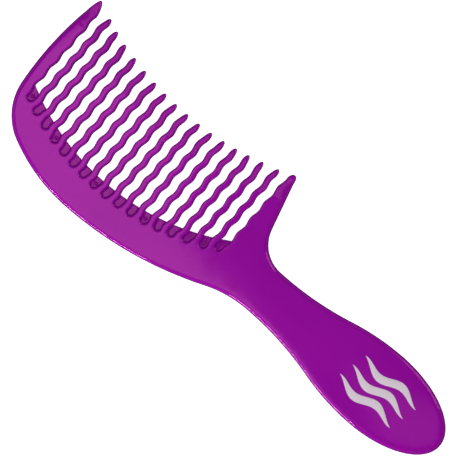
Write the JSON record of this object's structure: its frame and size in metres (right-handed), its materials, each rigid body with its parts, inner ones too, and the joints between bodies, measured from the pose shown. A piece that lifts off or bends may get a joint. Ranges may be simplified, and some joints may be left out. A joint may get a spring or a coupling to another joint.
{
  "type": "wide tooth comb",
  "caption": "Flat one-piece detangling comb with a curved spine, wavy widely spaced teeth, a guard tooth at each end and a paddle handle.",
  "frame": {"origin": "bottom centre of the comb's bounding box, on the back face it lies on", "axes": "+X along the comb towards the end of the handle, +Y the way the teeth point, +Z out of the printed front face"},
  "size_m": [0.2276, 0.0729, 0.0071],
  "materials": {
    "comb_plastic": "satin purple injection moulding",
    "print_ink": "matt light grey pad print"
  },
  "bodies": {
    "root": {"spine": "comb_plastic", "handle": "comb_plastic", "front_guard_tooth": "comb_plastic", "heel_guard_tooth": "comb_plastic", "wave_tooth_01": "comb_plastic", "wave_tooth_02": "comb_plastic", "wave_tooth_03": "comb_plastic", "wave_tooth_04": "comb_plastic", "wave_tooth_05": "comb_plastic", "wave_tooth_06": "comb_plastic", "wave_tooth_07": "comb_plastic", "wave_tooth_08": "comb_plastic", "wave_tooth_09": "comb_plastic", "wave_tooth_10": "comb_plastic", "wave_tooth_11": "comb_plastic", "wave_tooth_12": "comb_plastic", "wave_tooth_13": "comb_plastic", "wave_tooth_14": "comb_plastic", "wave_tooth_15": "comb_plastic", "wave_tooth_16": "comb_plastic", "handle_print": "print_ink"}
  },
  "joints": []
}
